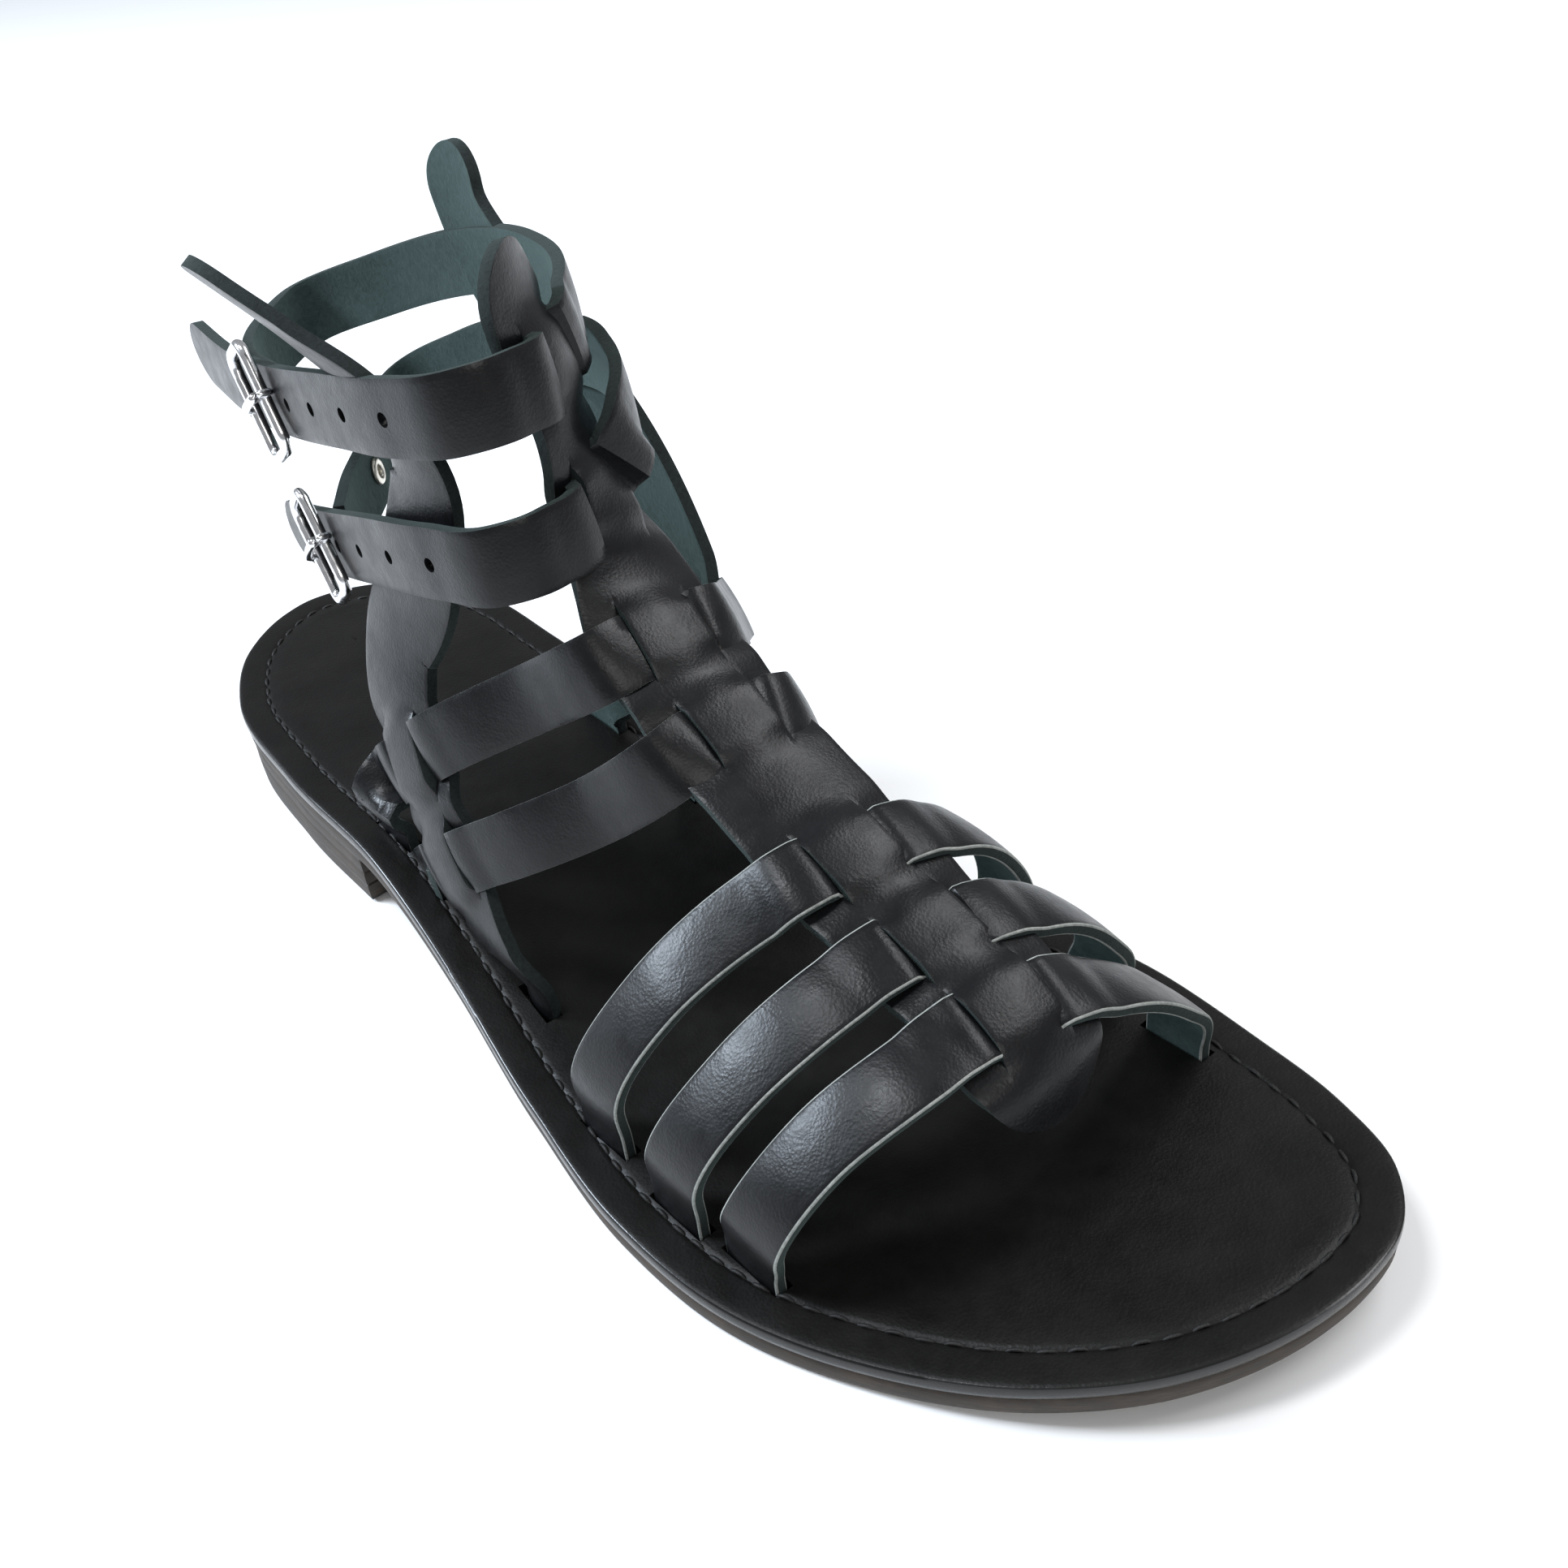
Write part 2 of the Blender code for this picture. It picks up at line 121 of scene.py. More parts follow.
def suede(name, dark, light, scale=900, sheen=0.22):
    m, nt, b = nodes_of(name)
    oc = obj_coords(nt)
    fibre = noise(nt, scale, 6, 0.7, oc, 0.6)
    cloud = noise(nt, 70, 4, 0.6, oc)
    mix = nt.nodes.new("ShaderNodeMath")
    mix.operation = "ADD"
    nt.links.new(remap(nt, fibre, 0, 0.6), mix.inputs[0])
    nt.links.new(remap(nt, cloud, 0, 0.4), mix.inputs[1])
    nt.links.new(ramp(nt, mix.outputs["Value"], [(0.32, dark), (0.68, light)]), b.inputs["Base Color"])
    b.inputs["Roughness"].default_value = 0.93
    b.inputs["Specular IOR Level"].default_value = 0.2
    b.inputs["Sheen Weight"].default_value = sheen
    b.inputs["Sheen Roughness"].default_value = 0.5
    b.inputs["Sheen Tint"].default_value = (0.5, 0.72, 0.68, 1)
    bump(nt, [(fibre, 0.6, 0.0003)], b)
    return m

FLESH = suede("strap_leather_flesh_side", (0.011, 0.020, 0.020), (0.034, 0.052, 0.051))
RIM = suede("strap_leather_dyed_edge", (0.006, 0.008, 0.008), (0.022, 0.028, 0.028), 1500, 0.10)
# a light grey line on every bevelled corner of the straps: partly the raw cut colour of the leather, partly a painted
# edge highlight
CUT_LINE_AND_EDGE_HIGHLIGHT = suede("strap_leather_cut_line_and_painted_edge_highlight", (0.13, 0.14, 0.132), (0.38, 0.39, 0.37), 1500, 0.10)

def sole_stack():
    """the outsole's edge: pressed brown leather with fine horizontal ribs"""
    m, nt, b = nodes_of("outsole_edge_brown")
    oc = obj_coords(nt)
    mp = nt.nodes.new("ShaderNodeMapping")
    mp.inputs["Scale"].default_value = (0.12, 0.12, 1.0)
    nt.links.new(oc, mp.inputs["Vector"])
    streak = noise(nt, 1500, 5, 0.65, mp.outputs["Vector"])
    blot = noise(nt, 120, 4, 0.6, oc)
    add = nt.nodes.new("ShaderNodeMath")
    add.operation = "ADD"
    nt.links.new(remap(nt, streak, 0, 0.55), add.inputs[0])
    nt.links.new(remap(nt, blot, 0, 0.45), add.inputs[1])
    nt.links.new(ramp(nt, add.outputs["Value"], [(0.3, (0.012, 0.009, 0.007)), (0.52, (0.030, 0.021, 0.014)), (0.72, (0.062, 0.043, 0.028))]), b.inputs["Base Color"])
    b.inputs["Roughness"].default_value = 0.62
    bump(nt, [(streak, 0.5, 0.00025), (noise(nt, 900, 5, 0.6, oc), 0.25, 0.0002)], b)
    return m
STACK = sole_stack()

def tread():
    m, nt, b = nodes_of("outsole_tread_rubber")
    oc = obj_coords(nt)
    n = noise(nt, 260, 6, 0.65, oc)
    nt.links.new(ramp(nt, n, [(0.3, (0.014, 0.013, 0.012)), (0.7, (0.032, 0.029, 0.027))]), b.inputs["Base Color"])
    nt.links.new(remap(nt, n, 0.55, 0.8, 0.3, 0.7), b.inputs["Roughness"])
    bump(nt, [(cells(nt, 900, oc), 0.35, 0.0003), (n, 0.2, 0.0004)], b)
    return m
TREAD = tread()

def metal(name, col, rough):
    m, nt, b = nodes_of(name)
    oc = obj_coords(nt)
    b.inputs["Metallic"].default_value = 1.0
    n = noise(nt, 700, 5, 0.7, oc)
    nt.links.new(ramp(nt, n, [(0.3, tuple(c * 0.86 for c in col)), (0.6, col)]), b.inputs["Base Color"])
    nt.links.new(remap(nt, n, rough - 0.05, rough + 0.14, 0.3, 0.75), b.inputs["Roughness"])
    bump(nt, [(noise(nt, 2500, 3, 0.6, oc), 0.12, 0.00006)], b)
    return m
CHROME = metal("buckle_bright_metal", (0.80, 0.80, 0.81), 0.14)
NICKEL = metal("rivet_nickel", (0.66, 0.63, 0.56), 0.28)

def thread():
    m, nt, b = nodes_of("waxed_thread")
    oc = obj_coords(nt)
    n = noise(nt, 2600, 4, 0.7, oc)
    nt.links.new(ramp(nt, n, [(0.3, (0.004, 0.004, 0.004)), (0.7, (0.018, 0.0175, 0.017))]), b.inputs["Base Color"])
    b.inputs["Specular IOR Level"].default_value = 0.25
    b.inputs["Roughness"].default_value = 0.5
    bump(nt, [(n, 0.5, 0.0002)], b)
    return m
THREAD = thread()

# ================================================================ helpers
def spline(knots, pts, t):
    i = max(0, min(len(knots) - 2, next((k for k in range(len(knots) - 1) if t <= knots[k + 1]), len(knots) - 2)))
    def tan(k):
        if k == 0:
            return [(b - a) / (knots[1] - knots[0]) for a, b in zip(pts[0], pts[1])]
        if k == len(knots) - 1:
            return [(b - a) / (knots[-1] - knots[-2]) for a, b in zip(pts[-2], pts[-1])]
        d0, d1 = knots[k] - knots[k - 1], knots[k + 1] - knots[k]
        return [((b - a) / d0 * d1 + (c - b) / d1 * d0) / (d0 + d1) for a, b, c in zip(pts[k - 1], pts[k], pts[k + 1])]
    h = knots[i + 1] - knots[i]
    u = (t - knots[i]) / h
    m0, m1 = tan(i), tan(i + 1)
    a, b, c, d = 2*u**3 - 3*u*u + 1, u**3 - 2*u*u + u, -2*u**3 + 3*u*u, u**3 - u*u
    return [a*p + b*h*q + c*r + d*h*s for p, q, r, s in zip(pts[i], m0, pts[i + 1], m1)]

def smooth(a, b, x):
    """0 at a, 1 at b"""
    u = min(1.0, max(0.0, (x - a) / (b - a)))
    return u * u * (3 - 2 * u)

def link(name, me, mats):
    o = bpy.data.objects.new(name, me)
    bpy.context.scene.collection.objects.link(o)
    for m in mats:
        me.materials.append(m)
    return o

def bake(o, angle=None):
    """applies the modifiers to the mesh"""
    dg = bpy.context.evaluated_depsgraph_get()
    me = bpy.data.meshes.new_from_object(o.evaluated_get(dg))
    o.modifiers.clear()
    old = o.data
    o.data = me
    bpy.data.meshes.remove(old)
    me.shade_smooth()
    if angle:
        me.set_sharp_from_angle(angle=math.radians(angle))
    return o

def cut(o, cutters):
    for c in cutters:
        m = o.modifiers.new("cut", "BOOLEAN")
        m.operation, m.solver, m.object = "DIFFERENCE", "EXACT", c
    bake(o, 40)
    for c in cutters:
        bpy.data.objects.remove(c, do_unlink=True)

# ================================================================ the sole's shape
OUTLINE = [(0, 3.6, -7.6), (8, 16.6, -19.8), (25, 27.5, -28.6), (55, 33, -29.6), (90, 34.9, -26.2), (120, 38.8, -24.4),
           (150, 44.5, -30.6), (178, 48.6, -38.8), (200, 47.2, -42), (220, 39.6, -40.4), (238, 27.8, -36.6),
           (250, 14.2, -30.6), (257, -3.0, -20.6)]
def outline_loop(n):
    pts = [(r[1], r[0]) for r in OUTLINE] + [(-12.0, LENGTH)] + [(r[2], r[0]) for r in reversed(OUTLINE)] + [(-2.0, -1.0)]
    pts = pts[-2:] + pts + pts[:3]
    k = [0.0]
    for a, b in zip(pts, pts[1:]):
        k.append(k[-1] + math.hypot(b[0] - a[0], b[1] - a[1]))
    t0, t1 = k[2], k[-3]
    return [spline(k, pts, t0 + (t1 - t0) * i / n) for i in range(n)]

def z_under(y):
    if y < BREAST:
        return HEEL
    if y < 152:
        u = (y - BREAST) / (152 - BREAST)
        return HEEL * (1 - u) ** 2 * (1 + 2 * u)
    if y > 206:
        return TOE_SPRING * ((y - 206) / (LENGTH - 206)) ** 2
    return 0.0
def top_low(y): return z_under(y) + T_OUT + GAP
def top_high(y): return z_under(y) + T_OUT + T_TOP

NL = 520
LOOP = np.array(outline_loop(NL))
nxt, prv = np.roll(LOOP, -1, 0), np.roll(LOOP, 1, 0)
tg = nxt - prv
tg /= np.linalg.norm(tg, axis=1)[:, None]
NORM = np.stack([tg[:, 1], -tg[:, 0]], 1)           # candidate outward normal
if np.sum(NORM * (LOOP - LOOP.mean(0))) < 0:
    NORM = -NORM
for _ in range(3):
    NORM = (np.roll(NORM, 1, 0) + NORM * 2 + np.roll(NORM, -1, 0)) / 4
NORM /= np.linalg.norm(NORM, axis=1)[:, None]
def spine(p):
    """the point of the sole's middle line that an outline point is joined to"""
    y = 24 + (p[1] + 1.0) * (232 - 24) / 259.0
    y = min(max(y, 24), 232)
    i = np.argsort(abs(LOOP[:, 1] - y) + np.where(NORM[:, 0] > 0, 0, 1e6))[0]
    j = np.argsort(abs(LOOP[:, 1] - y) + np.where(NORM[:, 0] < 0, 0, 1e6))[0]
    return np.array([(LOOP[i, 0] + LOOP[j, 0]) / 2, y])

def ring(inset):
    return LOOP - NORM * inset

def layer(name, side, top_insets, z_top, z_bot, mats, side_mat, groove=None, clip=None, steps=7):
    """A layer of the sole.  side: (inset, height above the bottom, as a share of z_top - z_bot) from top to bottom.
    top_insets: rings on the top between the edge and the inner field, each (inset, drop)."""
    bm = bmesh.new()
    rows = []
    def row(xy, zf):
        return [bm.verts.new(P((p[0], p[1], zf(p[1])))) for p in xy]
    sp = np.array([spine(p) for p in LOOP])
    last = ring(top_insets[-1][0])
    inner = []
    for k in range(1, steps + 1):
        lam = k / (steps + 0.6)
        inner.append(last + (sp - last) * lam)
    for xy in reversed(inner):
        rows.append(row(xy, z_top))
    n_top = len(rows)
    for ins, drop in reversed(top_insets):
        rows.append(row(ring(ins), lambda y, d=drop: z_top(y) - d))
    n_side0 = len(rows)
    for ins, f in side:
        rows.append(row(ring(ins), lambda y, f=f: z_bot(y) + (z_top(y) - z_bot(y)) * f))
    n_side1 = len(rows)
    for xy in [ring(side[-1][0] + 1.0)] + [last + (sp - last) * (k / (steps + 0.6)) for k in (1, 3, 5, steps)]:
        rows.append(row(xy, z_bot))
    for r in range(len(rows) - 1):
        a, b = rows[r], rows[r + 1]
        for i in range(NL):
            j = (i + 1) % NL
            f = bm.faces.new((a[i], a[j], b[j], b[i]))
            f.material_index = 0 if r < n_side0 - 1 else (1 if r < n_side1 - 1 else 2)
    for r, mi in ((rows[0], 0), (rows[-1], 2)):     # the narrow strip left along the middle line
        lo, hi = min(range(NL), key=lambda i: r[i].co.y), max(range(NL), key=lambda i: r[i].co.y)
        up_side = [r[(lo + k) % NL] for k in range((hi - lo) % NL + 1)]
        down_side = [r[(lo - k) % NL] for k in range((lo - hi) % NL + 1)]
        i = j = 0
        while i < len(up_side) - 1 or j < len(down_side) - 1:
            if j == len(down_side) - 1 or (i < len(up_side) - 1 and up_side[i + 1].co.y <= down_side[j + 1].co.y):
                tri = (up_side[i], up_side[i + 1], down_side[j])
                i += 1
            else:
                tri = (up_side[i], down_side[j + 1], down_side[j])
                j += 1
            if len(set(tri)) == 3:
                try:
                    bm.faces.new(tri).material_index = mi
                except ValueError:
                    pass
    bmesh.ops.remove_doubles(bm, verts=bm.verts, dist=0.00001)
    bmesh.ops.recalc_face_normals(bm, faces=bm.faces)
    me = bpy.data.meshes.new(name)
    bm.to_mesh(me)
    bm.free()
    o = link(name, me, mats)
    me.shade_smooth()
    return o

# ================================================================ the sole
insole = layer("insole_top", [(0.10, 0.90), (0.0, 0.78), (0.0, 0.45), (0.05, 0.2), (0.35, 0.03), (0.6, 0.0)],
               [(0.35, 0.10), (0.8, 0.0), (1.7, 0.0), (4.9, 0.05), (5.3, 0.12), (5.75, 0.38), (6.2, 0.12), (6.7, 0.0), (9, -0.03)],
               top_high, top_low, (TOP, EDGE_BLACK, TREAD), 1)
outsole = layer("outsole_leather", [(0.62, 0.95), (0.38, 0.82), (0.30, 0.60), (0.32, 0.35), (0.5, 0.12), (0.9, 0.0)],
                [(0.75, 0.02), (1.4, 0.0), (3, 0.0)], lambda y: z_under(y) + T_OUT, z_under, (TREAD, STACK, TREAD), 1)

def heel_piece():
    """the heel lift: its outline follows the sole, its front face is straight; two pressed layers and a top piece"""
    idx = [i for i in range(NL) if LOOP[i, 1] < BREAST - 0.4]
    start = next(k for k in range(len(idx)) if (idx[k] - idx[k - 1]) % NL != 1)
    idx = idx[start:] + idx[:start]
    prof = [(3.0, 9.7), (0.9, 9.7), (0.55, 9.45), (0.5, 9.0), (0.5, 7.0), (0.75, 6.75), (0.5, 6.5), (0.45, 5.6), (0.45, 4.2), (0.75, 3.95),
            (0.45, 3.7), (0.5, 2.6), (0.55, 0.9), (0.7, 0.35), (1.1, 0.0), (3.5, 0.0)]
    bm = bmesh.new()
    rows = []
    n_front = 14
    for ins, z in prof:
        pts = [LOOP[i] - NORM[i] * ins for i in idx]
        front = BREAST - 0.3 - max(0, ins - 0.45)
        pts = [np.array([p[0], min(p[1], front)]) for p in pts]
        a, b = pts[-1], pts[0]
        a, b = np.array([a[0], front]), np.array([b[0], front])
        pts = pts + [a + (b - a) * k / n_front for k in range(0, n_front + 1)]
        rows.append([bm.verts.new(P((p[0], p[1], z))) for p in pts])
    n = len(rows[0])
    for r in range(len(rows) - 1):
        for i in range(n):
            j = (i + 1) % n
            bm.faces.new((rows[r][i], rows[r][j], rows[r + 1][j], rows[r + 1][i])).material_index = 0 if r < 12 else 1
    for r, m in ((rows[0], 0), (rows[-1], 1)):
        bm.faces.new(r).material_index = m
    bmesh.ops.remove_doubles(bm, verts=bm.verts, dist=0.00002)
    bmesh.ops.recalc_face_normals(bm, faces=bm.faces)
    me = bpy.data.meshes.new("heel_lift")
    bm.to_mesh(me)
    bm.free()
    o = link("heel_lift", me, (STACK, TREAD))
    me.shade_smooth()
    me.set_sharp_from_angle(angle=math.radians(50))
    return o
heel = heel_piece()

def stitches():
    """the row of stitches round the insole, one soft lozenge for each"""
    k = np.zeros(NL + 1)
    R = ring(5.75)
    Rc = np.vstack([R, R[:1]])
    k[1:] = np.cumsum(np.linalg.norm(np.diff(Rc, axis=0), axis=1))
    total, pitch = k[-1], 3.9
    n = int(total / pitch)
    bm = bmesh.new()
    for s in range(n):
        c0, c1 = total * (s + 0.10) / n, total * (s + 0.88) / n
        def at(t):
            return np.array([np.interp(t, k, Rc[:, 0]), np.interp(t, k, Rc[:, 1])])
        a, b = at(c0), at(c1)
        d = (b - a) / np.linalg.norm(b - a)
        w = np.array([-d[1], d[0]])
        rows = []
        for f, h, r in ((0, -0.50, 0.12), (0.12, -0.18, 0.27), (0.35, 0.04, 0.34), (0.65, 0.04, 0.34), (0.88, -0.18, 0.27), (1, -0.50, 0.12)):
            c = a + (b - a) * f + w * (0.10 if s % 2 else -0.10) * math.sin(math.pi * f)
            z = top_high(c[1]) - 0.10 + h
            rows.append([bm.verts.new(P((c[0] + w[0] * r * math.cos(q), c[1] + w[1] * r * math.cos(q), z + r * 0.8 * math.sin(q))))
                         for q in (0, 1.0472, 2.0944, 3.1416, 4.1888, 5.236)])
        for x, y in zip(rows, rows[1:]):
            for i in range(6):
                j = (i + 1) % 6
                bm.faces.new((x[i], x[j], y[j], y[i]))
        bm.faces.new(rows[0])
        bm.faces.new(rows[-1])
    bmesh.ops.recalc_face_normals(bm, faces=bm.faces)
    me = bpy.data.meshes.new("insole_stitches")
    bm.to_mesh(me)
    bm.free()
    o = link("insole_stitches", me, (THREAD,))
    me.shade_smooth()
    return o
stitch = stitches()

# ================================================================ straps: tables (x, y, z, width direction, width)
N3 = (0, 1, 0)
def foot(x, y, w, u=N3):
    z = max(top_low(y - w / 2), top_low(y + w / 2)) + 0.1
    return [(x, y, z, *u, w), (x, y, top_high(y) + 2.5, *u, w)]
W5, WA = 10.5, 11.5
CENTRAL = [(0.2, 117, 119.5, .75, .65, 0, 19), (0, 118.5, 112, .75, .65, 0, 21), (-2, 121, 101.5, .75, .65, 0, 18),
           (-2, 124, 91.3, .8, .6, 0, 18), (-2.4, 127, 82, .85, .5, 0, 19), (-1.5, 133, 73.6, .95, .3, 0, 20),
           (0.8, 143, 66.2, 1, .15, 0, 22), (1.5, 157, 57.4, 1, 0, 0, 22.5), (2, 169, 51.8, 1, 0, 0, 22.5),
           (2.3, 182, 46.9, 1, 0, 0, 23), (2, 197, 41, 1, 0, 0, 23), (2.4, 211, 36.8, 1, 0, 0, 23),
           (3.2, 218, 31.5, 1, 0, 0, 22), (4, 220, 23.5, 1, 0, 0, 20)]
FORE = {
    "a": foot(39.4, 164.5, W5) + [(40.4, 166.5, 19, 0, 1, 0, W5), (31.5, 171.5, 33.5, .1, 1, -.1, W5), (16.5, 178, 44.2, 0, 1, -.25, W5),
          (2.3, 182, 46.9, 0, 1, -.35, W5), (-13.8, 184, 42.6, 0, 1, -.25, W5), (-25, 183, 30, 0, 1, -.1, W5), (-30, 179, 14, 0, 1, 0, W5)]
         + foot(-29.5, 177, W5)[::-1],
    "b": foot(40.8, 183.5, W5) + [(41.6, 185.5, 18, 0, 1, 0, W5), (32, 190, 31.2, .1, 1, -.1, W5), (17.5, 194.5, 39.6, 0, 1, -.2, W5),
          (2, 197, 41, 0, 1, -.3, W5), (-14.7, 200, 36.5, 0, 1, -.2, W5), (-26.5, 200, 25, 0, 1, -.1, W5), (-32.8, 197.2, 12.5, 0, 1, 0, W5)]
         + foot(-32.5, 196, W5)[::-1],
    "c": foot(39.4, 198, W5) + [(40.6, 201, 17.5, 0, 1, 0, W5), (31, 205.5, 30.2, .1, 1, -.1, W5), (17.5, 209.5, 36.2, 0, 1, -.2, W5),
          (2.4, 211, 36.8, 0, 1, -.3, W5), (-12.9, 214, 31.8, 0, 1, -.2, W5), (-25.5, 214.5, 21.3, 0, 1, -.1, W5), (-31.7, 213, 12, 0, 1, 0, W5)]
         + foot(-32, 212.5, W5)[::-1]}
INSTEP = {
    "1": foot(27.6, 88, W5) + [(30.4, 90, 25.5, 0, .9, -.1, W5), (30.8, 101, 36.5, 0, .8, -.6, W5), (26.5, 114, 47.6, 0, .6, -.8, W5), (17, 128.5, 57, 0, .6, -.8, W5),
          (7, 138.7, 63.4, 0, .6, -.8, W5), (0.8, 143, 66.2, .1, .75, -.6, W5), (-8.5, 141, 63, 0, .65, -.75, W5), (-18, 133, 57, 0, .6, -.8, W5),
          (-24.5, 121, 49, 0, .7, -.7, W5), (-25.5, 106, 36, 0, .85, -.5, W5), (-21.5, 93, 24, 0, 1, -.2, W5)] + foot(-18.6, 88, W5)[::-1],
    "2": foot(27.8, 108.5, W5) + [(31.4, 109.5, 20.5, 0, .9, -.2, W5), (32, 118, 28, 0, .7, -.7, W5), (27, 132.5, 37.5, 0, .6, -.8, W5), (19, 143.5, 44.5, 0, .6, -.8, W5),
          (8.3, 153.3, 53.2, 0, .6, -.8, W5), (1.5, 157, 57.2, .1, .85, -.5, W5), (-8, 155.5, 53.5, 0, .7, -.7, W5), (-17.5, 148, 45, 0, .65, -.75, W5),
          (-23, 135.5, 33.5, 0, .7, -.7, W5), (-23, 121, 22.5, 0, .9, -.4, W5)] + foot(-17.8, 111, W5)[::-1]}
SIDE_LAT = foot(31, 134.5, 8, (0.1, 1, 0)) + [(32.6, 129.5, 16, .1, 1, .3, 11), (31.6, 120, 22.8, 0, 1, .3, 14), (30.4, 112.5, 31.5, 0, 1, .2, 16),
            (28.3, 106, 40, 0, 1, .1, 17), (25.8, 100.5, 49, 0, 1, 0, 18), (22.4, 98.5, 58, 0, 1, 0, 19), (19.9, 103, 67, 0, 1, 0, 19.5),
            (18.6, 108, 78, 0, 1, .1, 18), (17.8, 111, 88, 0, 1, .2, 16.5), (18.4, 106, 96.5, .2, 1, .35, 17), (22, 92.5, 106, .35, .88, .32, 20),
            (28, 76, 116, .35, .88, .32, 20)]
SIDE_MED = foot(-19.6, 136, 9) + [(-20.6, 133.5, 16, 0, 1, .3, 12), (-22, 126.5, 34, 0, 1, .3, 15), (-24.2, 117, 51, 0, 1, .3, 17), (-26.5, 103, 69, 0, 1, .3, 18),
            (-27.6, 84, 84.5, 0, 1, .5, 18), (-27.6, 66, 96.5, 0, 1, .4, 18), (-28.4, 58.5, 105, 0, 1, .2, 15), (-29.2, 55, 116, 0, 1, .1, 18)]
UP = (0, -.2, 1)
ANKLE = {
    "upper": [(11.6, 53, 83.4), (8.4, 37, 81.4), (0.6, 24.5, 80.6), (-11, 17.5, 82), (-22, 32, 88), (-27.6, 57.5, 96), (-24, 86, 101.6), (-13, 111, 103.6),
              (-2, 121, 102), (6, 128, 103.2), (13, 130, 103.9), (18.6, 126.5, 103.1), (21.4, 114.5, 100.4), (21.2, 95, 96.2), (17.4, 64, 88.6), (15.6, 50, 86.2), (10.4, 19, 84.0)],
    "lower": [(12.5, 67, 61.8), (5.5, 57.5, 61.8), (-3, 48.5, 62.3), (-11, 39.5, 63.8), (-18.8, 36, 67.4), (-26.4, 51, 76), (-27.6, 78.5, 85), (-21, 107, 90.6), (-11.5, 123, 89.5),
              (-2.4, 127, 82.6), (6, 131.5, 81.6), (13.5, 133.5, 82), (19.3, 130, 81.2), (22, 118, 78.9), (21.6, 99.5, 74), (18, 73.5, 65.2), (15.6, 60, 60.6), (13.2, 46, 57)]}

class Path:
    def __init__(self, rows):
        self.rows = rows
        self.k = [0.0]
        for a, b in zip(rows, rows[1:]):
            self.k.append(self.k[-1] + math.dist(a[:3], b[:3]))
        self.len = self.k[-1]
    def at(self, t):
        """place, along, across, outward, width"""
        q = spline(self.k, self.rows, t)
        p0, p1 = spline(self.k, self.rows, max(0, t - 0.6)), spline(self.k, self.rows, min(self.len, t + 0.6))
        d = (Vector(p1[:3]) - Vector(p0[:3])).normalized()
        u = Vector(q[3:6])
        u = (u - d * u.dot(d)).normalized()
        return Vector(q[:3]), d, u, u.cross(d).normalized(), q[6]
    def nearest(self, p, lo=0.0, hi=None):
        hi = self.len if hi is None else hi
        best = min((abs((Vector(spline(self.k, self.rows, t)[:3]) - Vector(p)).length), t)
                   for t in [lo + (hi - lo) * i / 600 for i in range(601)])
        return best[1], best[0]

